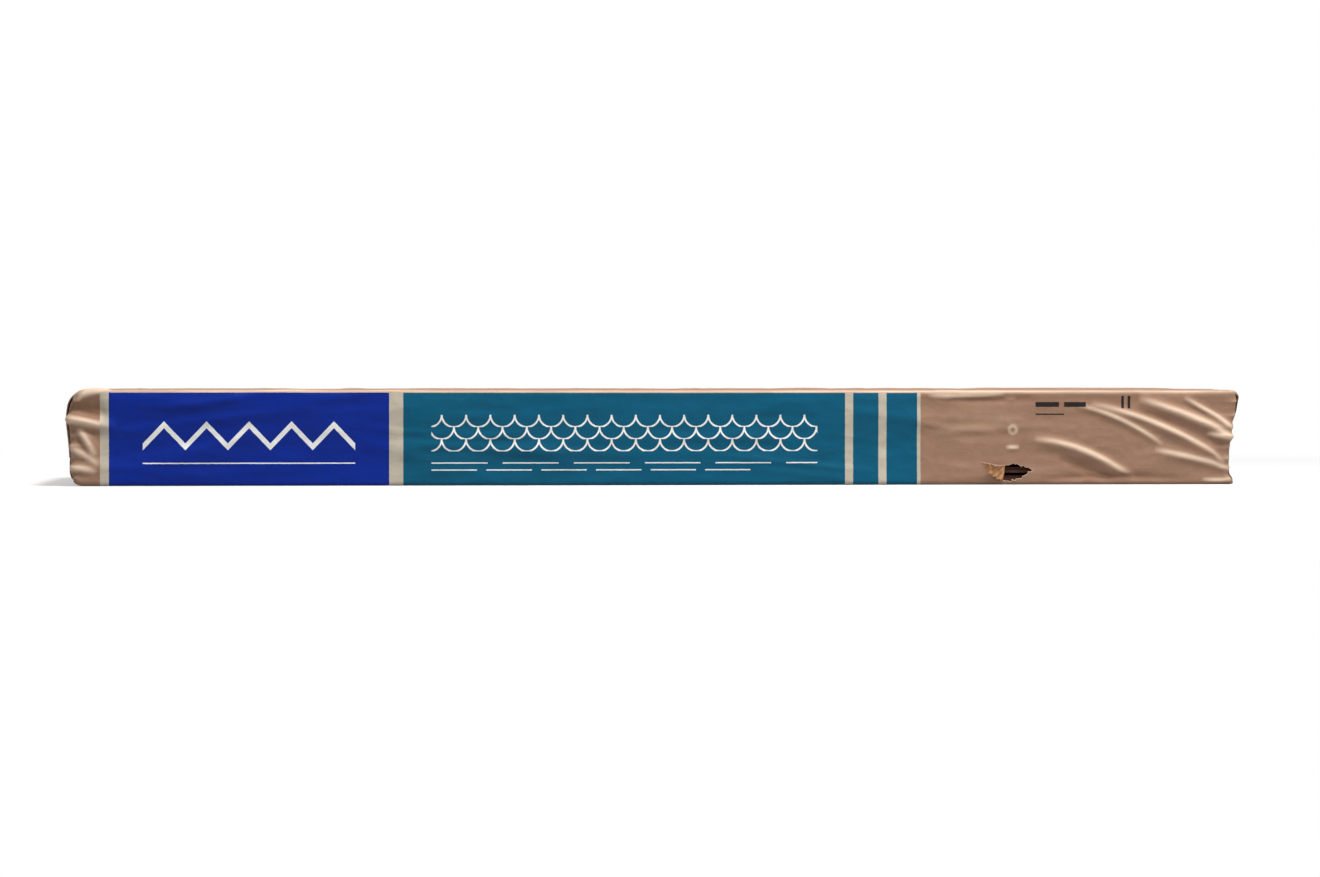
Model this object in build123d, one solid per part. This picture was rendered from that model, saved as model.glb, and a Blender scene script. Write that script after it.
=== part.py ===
from build123d import *
import math
import os

# A bundle of laminated asphalt shingles, stacked flat in a kraft paper wrapper. All sizes are in millimetres.
# X runs along the bundle, -Y is its front long side and +Z is up. The origin is the middle of the underside.

# One shingle: a full-width top sheet with teeth along its butt half, on a narrower backing strip, the shim
shingle_length = 984.0
shingle_width = 337.0
sheet_thickness = 2.5
shim_thickness = 2.3
bond_width = 19.0
slot_taper = 7.0
tooth_widths = (132.0, 84.0, 168.0, 104.0, 148.0)
slot_widths = (86.0, 118.0, 72.0, 102.0)

# The stack: shingles lie in pairs, each a little off the middle, as a machine stacks them
pair_count = 11
shim_gap = 7.0
stack_drift = 1.0
drift_turn = 137.5

# The wrapper: one sheet of kraft paper with a glued lap at the back and a parcel fold at each end
paper_thickness = 0.4
side_slack = 3.5
end_slack = 12.0
top_slack = 0.3
end_bend = 10.0
lap_height = 52.0
fold_length = 58.0

# The tear at the foot of the front side
tear_place = 307.0
tear_length = 27.0
tear_height = 16.0

# The two shims of a pair lie side by side between its sheets, one from the front and one from the back
shim_width = (shingle_width - shim_gap) / 2
slot_depth = shim_width - bond_width
pair_height = 2 * sheet_thickness + shim_thickness
stack_height = pair_count * pair_height

# The room inside the wrapper, whose bends clear the corners of the stack
room_length = shingle_length + 2 * end_slack
room_width = shingle_width + 2 * side_slack
room_height = stack_height + top_slack
inner_bend = side_slack - stack_drift
outer_bend = inner_bend + paper_thickness

# Each end has its folded-in sides, the bottom flap and the top flap, and the back has the lap over one sheet
wrapper_length = room_length + 6 * paper_thickness
wrapper_width = room_width + 3 * paper_thickness
wrapper_height = room_height + 2 * paper_thickness
room_middle_y = -paper_thickness / 2

STANDING = (Align.CENTER, Align.CENTER, Align.MIN)


def slot_spans(pattern):
    """Where each slot along the butt edge starts and ends, with the cutter's cycle begun at one pattern."""
    spans = []
    number = pattern
    start = tooth_widths[number % len(tooth_widths)]
    end = start + slot_widths[number % len(slot_widths)]
    while end + min(tooth_widths) <= shingle_length:
        spans.append((start, end))
        number += 1
        start = end + tooth_widths[number % len(tooth_widths)]
        end = start + slot_widths[number % len(slot_widths)]
    return spans


def slot(start, end):
    """One slot in the top sheet, wide at the butt edge and narrower at its root, so the teeth widen upwards."""
    left = start - shingle_length / 2
    right = end - shingle_length / 2
    butt = -shingle_width / 2
    root = butt + slot_depth
    outline = Polygon((left, butt), (right, butt), (right - slot_taper, root), (left + slot_taper, root), align=None)
    return Pos(0, 0, shim_thickness) * extrude(outline, sheet_thickness)


def shingle(pattern):
    """One laminated shingle face up, as on a roof: butt edge towards -Y, shim below, underside at zero."""
    sheet = Pos(0, 0, shim_thickness) * Box(shingle_length, shingle_width, sheet_thickness, align=STANDING)
    for start, end in slot_spans(pattern):
        sheet -= slot(start, end)
    shim_middle = (shim_width - shingle_width) / 2
    shim = Pos(0, shim_middle, 0) * Box(shingle_length, shim_width, shim_thickness, align=STANDING)
    return sheet + shim


def drift(number):
    """How far a shingle lies off the middle of the stack."""
    turn = math.radians(number * drift_turn)
    return stack_drift * math.cos(turn), stack_drift * math.sin(turn)


def stacked(number):
    """A shingle at its place in the stack: each pair is one face down, then one face up and turned end for end."""
    x, y = drift(number)
    floor = paper_thickness + number // 2 * pair_height
    if number % 2 == 0:
        lie = Pos(x, room_middle_y + y, floor + sheet_thickness + shim_thickness) * Rot(0, 180, 0)
    else:
        lie = Pos(x, room_middle_y + y, floor + sheet_thickness) * Rot(0, 0, 180)
    return lie * shingle(number)


def flap(base, rise):
    """The outline of an end flap, whose sides slope in at 45 degrees from the bend at its base."""
    half = wrapper_width / 2
    tip = half - fold_length
    far = base + rise * fold_length
    return Polygon((-half, base), (half, base), (tip, far), (-tip, far), align=None)


def end_relief():
    """The steps of the +X end: one sheet down beside the top flap, and two where the bottom flap isn't either."""
    end_face = Pos(0, wrapper_height / 2) * Rectangle(wrapper_width, wrapper_height)
    beside_top = end_face - flap(wrapper_height, -1)
    beside_both = beside_top - flap(0, 1)
    first = Plane.YZ.offset(wrapper_length / 2 - paper_thickness)
    second = Plane.YZ.offset(wrapper_length / 2 - 2 * paper_thickness)
    return extrude(first * beside_top, paper_thickness) + extrude(second * beside_both, 2 * paper_thickness)


def lap_relief():
    """The step of the back, where the sheet that comes up from below ends over the one that comes down."""
    bare_height = wrapper_height - lap_height
    step = Box(wrapper_length, paper_thickness, bare_height, align=(Align.CENTER, Align.MAX, Align.MIN))
    return Pos(0, wrapper_width / 2, lap_height) * step


def tear():
    """The ragged hole at the foot of the front side, through the wall and the bend below it."""
    left = tear_place - tear_length / 2
    right = tear_place + tear_length / 2
    outline = Polygon(
        (left, 0),
        (right - tear_length / 8, 0),
        (right, tear_height / 2),
        (tear_place + tear_length / 5, tear_height),
        (left + tear_length / 7, 3 * tear_height / 4),
        align=None,
    )
    front = Plane.XZ.offset(wrapper_width / 2)
    return extrude(front * outline, -outer_bend)


def parcel(length, width, height, long_bend, end_bend):
    """A box that stands on zero, with its long edges bent at one radius and its loose ends at another."""
    section = extrude(Plane.YZ * RectangleRounded(width, height, long_bend), length / 2, both=True)
    side = extrude(Plane.XZ * RectangleRounded(length, height, end_bend), width / 2, both=True)
    plan = extrude(Plane.XY * RectangleRounded(length, width, end_bend), height / 2, both=True)
    return Pos(0, 0, height / 2) * (section & side & plan)


def wrapper():
    """The paper as one closed thin sheet, with its folds and its lap standing one sheet proud of each other."""
    outside = parcel(wrapper_length, wrapper_width, wrapper_height, outer_bend, end_bend)
    outside -= end_relief()
    outside -= Rot(0, 0, 180) * end_relief()
    outside -= lap_relief()
    room = parcel(room_length, room_width, room_height, inner_bend, end_bend - paper_thickness)
    return outside - Pos(0, room_middle_y, paper_thickness) * room - tear()


os.makedirs("parts", exist_ok=True)
for number in range(2 * pair_count):
    export_step(stacked(number), f"parts/shingle_{number + 1:02d}.step")
export_step(wrapper(), "parts/paper_wrapper.step")
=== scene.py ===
import math

import bmesh
import bpy
import numpy as np
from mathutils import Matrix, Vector
from mathutils.bvhtree import BVHTree

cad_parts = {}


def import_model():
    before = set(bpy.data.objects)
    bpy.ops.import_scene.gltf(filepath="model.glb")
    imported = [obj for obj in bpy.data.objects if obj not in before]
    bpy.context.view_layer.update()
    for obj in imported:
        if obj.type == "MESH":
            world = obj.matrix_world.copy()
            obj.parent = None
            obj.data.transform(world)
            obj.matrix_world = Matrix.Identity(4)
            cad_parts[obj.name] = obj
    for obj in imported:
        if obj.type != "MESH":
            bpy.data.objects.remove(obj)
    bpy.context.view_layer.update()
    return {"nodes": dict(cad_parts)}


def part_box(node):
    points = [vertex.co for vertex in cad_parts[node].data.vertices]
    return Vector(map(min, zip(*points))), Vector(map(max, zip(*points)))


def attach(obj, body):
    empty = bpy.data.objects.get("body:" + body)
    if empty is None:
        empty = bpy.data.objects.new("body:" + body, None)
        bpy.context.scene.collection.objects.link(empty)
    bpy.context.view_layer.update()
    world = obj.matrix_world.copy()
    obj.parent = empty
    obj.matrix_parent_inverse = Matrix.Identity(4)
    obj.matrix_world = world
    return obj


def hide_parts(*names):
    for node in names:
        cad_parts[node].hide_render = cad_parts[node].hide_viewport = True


# A bundle of asphalt shingles in a kraft paper wrapper, in metres. The wrapper is one sheet, folded from a
# flat grid: a loop round the long sides with a lap at the back, and a parcel fold at each end.
# Places on the flat sheet are (s, t): s runs along the bundle from its middle, and t round the loop from the
# front's lower edge, up the front, over the top and down the back, and the other way under the bundle.

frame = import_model()
random = np.random.default_rng(11)

# The stack of shingles inside, and the highest shingle, whose slots show through the paper
shingles = [name for name in frame["nodes"] if name.startswith("shingle_")]
stack_boxes = [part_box(name) for name in shingles]
STACK_LOW = np.min([box[0] for box in stack_boxes], axis=0)
STACK_HIGH = np.max([box[1] for box in stack_boxes], axis=0)
TOP_SHINGLE = max(shingles)

# The paper, how far apart its folded layers lie, and the layers at each end from the inside out
PAPER = 0.00035
LAYER = 0.0005
SIDE, LAP_SIDE, BOTTOM_TUCK, BOTTOM_FLAP, TOP_TUCK, TOP_FLAP = range(6)

# The middle of the sheet's thickness on each side of the wrapper
box_low, box_high = (np.array(corner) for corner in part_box("paper_wrapper"))
SIDES_LOW = box_low + PAPER / 2
SIDES_HIGH = box_high - PAPER / 2
FRONT, BASE = SIDES_LOW[1:]
BACK, LID = SIDES_HIGH[1:]
HALF = SIDES_HIGH[0] - TOP_FLAP * LAYER
WIDTH = BACK - FRONT
HEIGHT = LID - BASE

# The sheet's folded ends, its lap, and the edge that stops short under the lap
FOLD = 0.058
LAP = 0.052
INNER_EDGE = 0.006

# Where each side begins round the loop
SHEET_START = -WIDTH - LAP
BOTTOM_START = -WIDTH
TOP_START = HEIGHT
BACK_START = HEIGHT + WIDTH
SHEET_END = BACK_START + HEIGHT - INNER_EDGE

# Grid cells of the sheet, finer at the ends and where the photograph shows creases
FOLD_CELLS = 24
FOLD_EASE = 1.25
FINE_LEFT = -0.445
FINE_RIGHT = 0.225
ALONG_CELLS = (34, 160, 210)
FRONT_CELLS = 54
BACK_CELLS = 36
LAP_CELLS = 26
TOP_CELLS = 92
BOTTOM_CELLS = 10

# Faces left on each side of the sheet once flat stretches are thinned out
SHEET_FACES = 92000

# The bends: radii of the long edges and of the edges at the ends, how deep the hidden folds sink, and how
# near a point counts as beside a bend or on a fold
LONG_BEND = 0.0027
END_BEND = 0.010
LEFT_TOP_BEND = 0.013
RIGHT_TOP_BEND = 0.006
BEND_MARGIN = 0.004
HIDDEN_SINK = 0.0016
SAME_PLACE = 1e-6

# Smoothing of the folded-in ends: passes, strength, and how far past the bend it sets in and drops
FOLD_PASSES = 5
FOLD_SOFTEN = 0.5
LOOSE_RISE = (0.004, 0.010)
LOOSE_FALL = (0.012, 0.020)
LOOSE_DROP = 0.75

# How far the paper stays from the stack, and the margins of the stack's top and of the flat underside
STACK_CLEARANCE = 0.0009
FLAT_MARGIN = 0.003

# The tear at the foot of the front: the hole's outline, and how its paper is folded back with a rolled top.
# Each pace is in radians a metre
TEAR_OUTLINE = (
    (0.2955, 0.0030), (0.2985, 0.0162), (0.3050, 0.0175), (0.3130, 0.0164), (0.3235, 0.0122),
    (0.3165, 0.0078), (0.3085, 0.0036),
)
TEAR_MARGIN = 0.004
TEAR_CUTS = 3
TEAR_PASSES = 2
TORN_WEAR = 1.2
RAG_SIZE = 0.0003
RAG_WAVES = 5
RAG_PACE = (400, 2600)
HINGE = (0.2970, 0.0090)
HINGE_LEAN = math.radians(9)
HINGE_UP = Vector((math.sin(HINGE_LEAN), math.cos(HINGE_LEAN)))
HINGE_RIGHT = Vector((math.cos(HINGE_LEAN), -math.sin(HINGE_LEAN)))
HINGE_MARGIN = 0.0010
HINGE_TURN = math.radians(168)
HINGE_BEND = 0.0010
ROLL_START = 0.0056
ROLL_BEND = 0.0014
FLAP_RIPPLE = 0.0004
RIPPLE_PACE = (1100, 700)

# The print on the front side: a cream strip, the fields and figures on it, and dark marks on the bare paper
PRINT_FOOT = -0.002
PRINT_TOP = HEIGHT - 0.0020
PRINT_SPAN = (-0.4770, 0.2256)
BLUE_SPAN = (-0.4695, -0.2320)
TEAL_SPANS = ((-0.2200, 0.1600), (0.1670, 0.1890), (0.1960, 0.2226))
ZIGZAG_SPAN = (-0.4410, -0.2610)
SCALLOP_SPAN = (-0.1960, 0.1360)
DASH_SPAN = (-0.1960, 0.0840)
MARK_SPAN = (0.3260, 0.3700)
STAMP_SPAN = (0.4010, 0.4090)

# The camera, at the photograph's viewing angle as far as a floor allows
VIEW_AIM = (0.0, -0.1726, 0.0400)
VIEW_AZIMUTH = -4.6
VIEW_ELEVATION = 0.6
VIEW_DISTANCE = 3.4
VIEW_LENS = 108


# The flat sheet

def strip_lines():
    """Distances from a bend over one folded-in strip, closer together near the bend."""
    return FOLD * (np.arange(FOLD_CELLS + 1) / FOLD_CELLS) ** FOLD_EASE


def even_lines(start, end, cells):
    """Evenly spaced grid lines up to the end, without the first."""
    return np.linspace(start, end, cells + 1)[1:]


def lines_along():
    """Grid lines along the bundle, from one cut end of the sheet to the other."""
    strip = strip_lines()
    left, middle, right = ALONG_CELLS
    return np.concatenate((
        -HALF - strip[::-1],
        even_lines(-HALF, FINE_LEFT, left),
        even_lines(FINE_LEFT, FINE_RIGHT, middle),
        even_lines(FINE_RIGHT, HALF, right),
        HALF + strip[1:],
    ))


def lines_round():
    """Grid lines round the loop, from the lap's outer edge to the inner edge under it."""
    strip = strip_lines()
    return np.concatenate((
        np.linspace(SHEET_START, BOTTOM_START, LAP_CELLS + 1),
        BOTTOM_START + strip[1:],
        even_lines(BOTTOM_START + FOLD, -FOLD, BOTTOM_CELLS),
        -strip[::-1][1:],
        even_lines(0, TOP_START, FRONT_CELLS),
        TOP_START + strip[1:],
        even_lines(TOP_START + FOLD, BACK_START - FOLD, TOP_CELLS),
        BACK_START - strip[::-1][1:],
        even_lines(BACK_START, SHEET_END, BACK_CELLS),
    ))


def rise(values, start, end):
    """0 before start and 1 after end, with a smooth rise between."""
    share = np.clip((values - start) / (end - start), 0, 1)
    return share * share * (3 - 2 * share)


# The folds

def folded(s, t):
    """Where each point of the flat sheet lies once it is folded, with sharp folds and its layers apart."""
    tucked = np.maximum(np.abs(s) - HALF, 0)
    sink = HIDDEN_SINK * rise(tucked, 0, END_BEND)
    y = np.zeros_like(s)
    z = np.zeros_like(s)
    layer = np.full_like(s, SIDE)

    front = (t >= 0) & (t <= TOP_START)
    y[front] = (FRONT + tucked)[front]
    z[front] = BASE + t[front]
    back = t >= BACK_START
    y[back] = (BACK - 2 * LAYER - tucked)[back]
    z[back] = LID - (t[back] - BACK_START)
    lap = t <= BOTTOM_START
    y[lap] = (BACK - tucked)[lap]
    z[lap] = BASE + BOTTOM_START - t[lap]
    layer[lap] = LAP_SIDE
    z = np.clip(z, BASE + sink, LID - sink)

    panels = (
        ((t > BOTTOM_START) & (t < 0), -t, BASE, 1, BOTTOM_TUCK, BOTTOM_FLAP),
        ((t > TOP_START) & (t < BACK_START), t - TOP_START, LID, -1, TOP_TUCK, TOP_FLAP),
    )
    for panel, from_front, base, turn, tuck_layer, flap_layer in panels:
        from_back = WIDTH - from_front
        nearest = np.minimum(from_front, from_back)
        under = panel & (nearest < tucked - SAME_PLACE)
        flap = panel & ~under
        y[flap] = FRONT + from_front[flap]
        z[flap] = base + turn * tucked[flap]
        layer[flap] = flap_layer
        y[under] = np.where(from_front < from_back, FRONT + tucked, BACK - tucked)[under]
        z[under] = base + turn * np.maximum(nearest, sink)[under]
        layer[under] = tuck_layer
    x = np.minimum(np.abs(s), HALF) + layer * LAYER * rise(np.abs(s), HALF - END_BEND, HALF)
    return np.stack((np.sign(s) * x, y, z), -1), layer


def softened(points, s_lines, t_lines, passes, weight):
    """A grid of values drawn towards the line between each one's neighbours, pass after pass."""
    before = np.diff(s_lines)[:-1, None, None]
    after = np.diff(s_lines)[1:, None, None]
    below = np.diff(t_lines)[None, :-1, None]
    above = np.diff(t_lines)[None, 1:, None]
    for _ in range(passes):
        along = (after * points[:-2] + before * points[2:]) / (before + after) - points[1:-1]
        points[1:-1] += FOLD_SOFTEN * weight[1:-1] * along
        around = (above * points[:, :-2] + below * points[:, 2:]) / (below + above) - points[:, 1:-1]
        points[:, 1:-1] += FOLD_SOFTEN * weight[:, 1:-1] * around
    return points


def rounded(points, first, second, radius):
    """The edges between two directions of the box made round, with every layer inside drawn along."""
    axes = (first, second)
    middle = [(SIDES_LOW[axis] + SIDES_HIGH[axis]) / 2 for axis in axes]
    straight = [(SIDES_HIGH[axis] - SIDES_LOW[axis]) / 2 - radius for axis in axes]
    offset = [points[..., axis] - centre for axis, centre in zip(axes, middle)]
    past = [np.abs(away) - reach for away, reach in zip(offset, straight)]
    corner = (past[0] > 0) & (past[1] > 0)
    pull = np.maximum(*past) / np.maximum(np.hypot(*past), 1e-9)
    for axis, centre, reach, away, beyond in zip(axes, middle, straight, offset, past):
        points[..., axis][corner] = (centre + np.sign(away) * (reach + beyond * pull))[corner]
    return points


# The creases

# A crease: smoothing passes, points along its curve, its crest's rounding, and how its height and painted
# tone fall off: crests painted paler, part rubbed and part painted highlight, valleys given painted shade
CREASE_PASSES = 1
CURVE_POINTS = 13
CREST_ROUND = 0.0008
SLOPE_POWER = 1.2
TIP_POWER = 0.6
WEAR_AND_LIGHT_SHARE = 0.75
WEAR_AND_LIGHT_POWER = 1.5

# Random creases: spread of their lean, their bow, how uneven their slopes are, and how much paler their
# crests are painted, part rubbed and part painted highlight, for one and for all
SCATTER_LEAN = 0.12
SCATTER_BOW = 0.06
SCATTER_UNEVEN = (0.5, 2.2)
SCATTER_WORN_AND_HIGHLIGHT = 0.06
SCATTER_WORN_AND_HIGHLIGHT_MOST = 0.11
MOST_LEAN = 1.3

# What brings the sum of random waves mostly between -1 and 1
WAVE_SPREAD = 1.4


def waves(along, around, reach_along, reach_around, seed, count=14):
    """Smooth random undulation, mostly between -1 and 1, with its own reach in each direction."""
    maker = np.random.default_rng(seed)
    total = np.zeros_like(along)
    for _ in range(count):
        first = maker.normal(0, 1 / reach_along)
        second = maker.normal(0, 1 / reach_around)
        total += np.sin(first * along + second * around + maker.uniform(0, 2 * math.pi))
    return total / math.sqrt(count) / WAVE_SPREAD


class Relief:
    """Heights over the folded sheet, and each point's painted tone: above 0 on ridges, painted paler, part
    rubbed and part painted highlight; below 0 in valleys, painted darker as painted shade.
    """

    def __init__(self, s, t):
        self.s = s
        self.t = t
        self.height = np.zeros_like(s)
        self.wear_and_painted_light = np.zeros_like(s)

    def crease(self, points, height, width, far_width=None, wear_and_painted_light=1.0):
        """A sharp ridge, or a valley where height is below 0, along a curve drawn by three points.

        width is its reach to the curve's left and far_width to its right, where it isn't the same.
        """
        far_width = far_width or width
        start, middle, end = (np.array(point, float) for point in points)
        reach = max(width, far_width)
        low = np.minimum(np.minimum(start, middle), end) - reach
        high = np.maximum(np.maximum(start, middle), end) + reach
        near = (self.s > low[0]) & (self.s < high[0]) & (self.t > low[1]) & (self.t < high[1])
        place = np.stack((self.s[near], self.t[near]), -1)
        share = np.linspace(0, 1, CURVE_POINTS)[:, None]
        curve = (1 - share) ** 2 * start + 2 * share * (1 - share) * middle + share ** 2 * end
        nearest = np.full(len(place), np.inf)
        to_left = np.zeros(len(place), bool)
        along = np.zeros(len(place))
        for number, (corner, step) in enumerate(zip(curve, np.diff(curve, axis=0))):
            length = np.linalg.norm(step)
            direction = step / length
            offset = place - corner
            run = np.clip(offset @ direction, 0, length)
            distance = np.linalg.norm(offset - run[:, None] * direction, axis=1)
            closer = distance < nearest
            nearest[closer] = distance[closer]
            to_left[closer] = (direction[0] * offset[:, 1] > direction[1] * offset[:, 0])[closer]
            along[closer] = ((number + run / length) / (len(curve) - 1))[closer]
        nearest = np.hypot(nearest, CREST_ROUND) - CREST_ROUND
        tent = np.maximum(1 - nearest / np.where(to_left, width, far_width), 0)
        fade = np.sin(math.pi * along) ** TIP_POWER
        self.height[near] += height * tent ** SLOPE_POWER * fade
        # Crests painted paler, part rubbed and part painted highlight; valleys, where height is below 0,
        # painted darker as painted shade
        crest = np.maximum(1 - nearest / (WEAR_AND_LIGHT_SHARE * min(width, far_width)), 0)
        self.wear_and_painted_light[near] += wear_and_painted_light * np.sign(height) * crest ** WEAR_AND_LIGHT_POWER * fade

    def scatter(self, count, s_range, t_range, length, height, width, lean=None):
        """Random nearly straight creases over part of the sheet; lean gives their angle at a place."""
        wear_and_painted_light_before = self.wear_and_painted_light.copy()
        for _ in range(count):
            centre = np.array((random.uniform(*s_range), random.uniform(*t_range)))
            angle = random.normal(0, SCATTER_LEAN) + (lean(*centre) if lean else 0)
            direction = np.array((math.cos(angle), math.sin(angle)))
            across = np.array((-direction[1], direction[0]))
            half = random.uniform(*length) / 2
            middle = centre + random.normal(0, SCATTER_BOW) * half * across
            wide = random.uniform(*width)
            # Each crest painted a little paler: part rubbed, part painted highlight
            self.crease(
                (centre - half * direction, middle, centre + half * direction),
                random.uniform(*height), wide, wide * random.uniform(*SCATTER_UNEVEN), wear_and_painted_light=SCATTER_WORN_AND_HIGHLIGHT,
            )
        self.wear_and_painted_light = wear_and_painted_light_before + np.minimum(self.wear_and_painted_light - wear_and_painted_light_before, SCATTER_WORN_AND_HIGHLIGHT_MOST)

    def undulate(self, share, height, reach_along, reach_around, seed):
        """Smooth waves over part of the sheet, where share is above 0."""
        self.height += share * height * waves(self.s, self.t, reach_along, reach_around, seed)


def any_way(*place):
    """A random lean, whatever the place."""
    return random.uniform(-MOST_LEAN, MOST_LEAN)


# Each is three points (s, t) on the front, then the height and the reach above and below the line
# Valleys, where the height is below 0, are painted darker as painted shade; ridges are painted paler, part
# rubbed and part painted highlight
FRONT_CREASES = (
    # The fan at the right end
    (((0.324, 0.039), (0.368, 0.037), (0.414, 0.004)), 0.0036, 0.0044, 0.0120),
    (((0.374, 0.070), (0.438, 0.057), (0.498, 0.018)), 0.0034, 0.0038, 0.0090),
    (((0.362, 0.069), (0.404, 0.059), (0.438, 0.034)), 0.0021, 0.0028, 0.0060),
    (((0.416, 0.074), (0.462, 0.061), (0.514, 0.036)), 0.0050, 0.0056, 0.0100),
    (((0.456, 0.075), (0.482, 0.061), (0.512, 0.043)), 0.0030, 0.0030, 0.0055),
    (((0.430, 0.030), (0.462, 0.024), (0.510, 0.011)), 0.0018, 0.0040, 0.0070),
    (((0.476, 0.044), (0.490, 0.041), (0.514, 0.040)), 0.0024, 0.0030, 0.0040),
    (((0.345, 0.022), (0.372, 0.014), (0.396, 0.002)), -0.0014, 0.0070, 0.0060),
    (((0.330, 0.004), (0.385, 0.011), (0.462, 0.004)), -0.0014, 0.0030, 0.0050),
    (((0.472, 0.004), (0.486, 0.003), (0.502, 0.004)), 0.0012, 0.0020, 0.0030),
    # Short level marks above and below the small ring
    (((0.3000, 0.0322), (0.3060, 0.0316), (0.3120, 0.0322)), 0.0014, 0.0022, 0.0034),
    (((0.2985, 0.0738), (0.3040, 0.0732), (0.3090, 0.0738)), 0.0012, 0.0022, 0.0034),
    # Shallow folds along the top edge, right of the print
    (((0.250, 0.074), (0.290, 0.072), (0.330, 0.074)), -0.0014, 0.006, 0.004),
    (((0.232, 0.077), (0.262, 0.075), (0.300, 0.078)), 0.0014, 0.005, 0.003),
    # The tuck at the left end
    (((-0.512, 0.060), (-0.488, 0.054), (-0.464, 0.049)), 0.0056, 0.009, 0.007),
    (((-0.510, 0.066), (-0.488, 0.066), (-0.470, 0.058)), -0.0050, 0.012, 0.009),
    (((-0.506, 0.072), (-0.492, 0.079), (-0.468, 0.082)), 0.0034, 0.007, 0.004),
    (((-0.495, 0.049), (-0.489, 0.040), (-0.481, 0.025)), 0.0044, 0.008, 0.005),
    (((-0.510, 0.034), (-0.494, 0.030), (-0.478, 0.018)), 0.0028, 0.007, 0.005),
    (((-0.508, 0.014), (-0.494, 0.016), (-0.480, 0.012)), 0.0022, 0.006, 0.005),
)

# A small ring pressed into the front: its middle, its radius, and its rim's reach, height and paleness, part
# rubbed and part painted highlight
RING_MIDDLE = (0.3060, 0.0470)
RING_RADIUS = 0.0032
RING_RIM = 0.0013
RING_HEIGHT = 0.0009
RING_WORN_AND_HIGHLIGHT = 0.55

# The front's waves, as (height, reach along, reach round, seed), and the edges of the strip that they fill
FRONT_WAVES = ((0.0011, 0.25, 0.016, 12), (0.0005, 0.11, 0.011, 3), (0.0004, 0.03, 0.007, 4))
FRONT_FOOT = (-0.004, 0.010)
FRONT_HEAD = (TOP_START - 0.010, TOP_START + 0.004)

# The top edge of the front, painted paler: part rubbed paper, part painted highlight along the bend
EDGE_REACH = 0.0022
EDGE_WORN_AND_HIGHLIGHT = 0.62
EDGE_UNEVEN = 0.2


def crease_front(relief):
    """The front: fans at both ends, slight waves along it, a small ring, and a top edge painted paler, part
    rubbed and part painted highlight.
    """
    s, t = relief.s, relief.t
    for points, height, above, below in FRONT_CREASES:
        relief.crease(points, height, above, below)
    relief.scatter(
        40, (-0.46, 0.32), (0.004, 0.078), length=(0.05, 0.22), height=(0.0003, 0.0011), width=(0.003, 0.008),
    )
    inside = rise(t, *FRONT_FOOT) * (1 - rise(t, *FRONT_HEAD))
    for wave in FRONT_WAVES:
        relief.undulate(inside, *wave)
    from_middle = np.hypot(s - RING_MIDDLE[0], t - RING_MIDDLE[1])
    rim = np.exp(-((from_middle - RING_RADIUS) / RING_RIM) ** 2)
    relief.height += RING_HEIGHT * rim
    # The rim painted paler: part rubbed, part painted highlight
    relief.wear_and_painted_light += RING_WORN_AND_HIGHLIGHT * rim
    # A pale band along the top edge: part rubbed paper, part painted highlight
    rubbed_and_highlight = EDGE_WORN_AND_HIGHLIGHT + EDGE_UNEVEN * waves(s, t, 0.02, 0.1, seed=13)
    relief.wear_and_painted_light += rubbed_and_highlight * np.exp(-((t - TOP_START) / EDGE_REACH) ** 2)


# The pleats at the ends: their reach, the first and last, their spacing, their widths and heights, and how
# much paler their crests are painted, part rubbed and part painted highlight
PLEAT_REACH = 0.0075
FIRST_PLEAT = 0.005
LAST_PLEAT = 0.006
PLEAT_STEPS = (0.008, 0.013)
PLEAT_WIDTHS = (0.0026, 0.0042)
PLEAT_HEIGHTS = (0.0008, 0.0018)
PLEAT_WORN_AND_HIGHLIGHT = 0.6


def crease_ends(relief):
    """Short level pleats where the sides turn in at each end."""
    s, t = relief.s, relief.t
    for side in (-1, 1):
        near_end = np.exp(-np.abs(side * s - HALF) / PLEAT_REACH)
        for start in (0, BACK_START):
            place = start + FIRST_PLEAT
            while place < start + HEIGHT - LAST_PLEAT:
                pleat = np.maximum(1 - np.abs(t - place) / random.uniform(*PLEAT_WIDTHS), 0)
                relief.height += near_end * random.uniform(*PLEAT_HEIGHTS) * pleat
                # Pleat crests painted paler: part rubbed, part painted highlight
                relief.wear_and_painted_light += near_end * PLEAT_WORN_AND_HIGHLIGHT * pleat ** 3
                place += random.uniform(*PLEAT_STEPS)


# How the top follows the slots below it
SAG_PASSES = 24
SAG_START = 0.0012
SAG_SHARE = 0.6

# The top's creases: the most that they stand over the stack, their margins at the long edges, and their fan
TOP_RISE = 0.0026
TOP_SWELL = 0.0006
TOP_RIPPLE = 0.0002
TOP_EDGE = 0.012
TOP_MARGIN = 0.01
FAN_START = 0.30
FAN_REACH = 0.20
FAN_LEAN = 0.9


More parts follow.
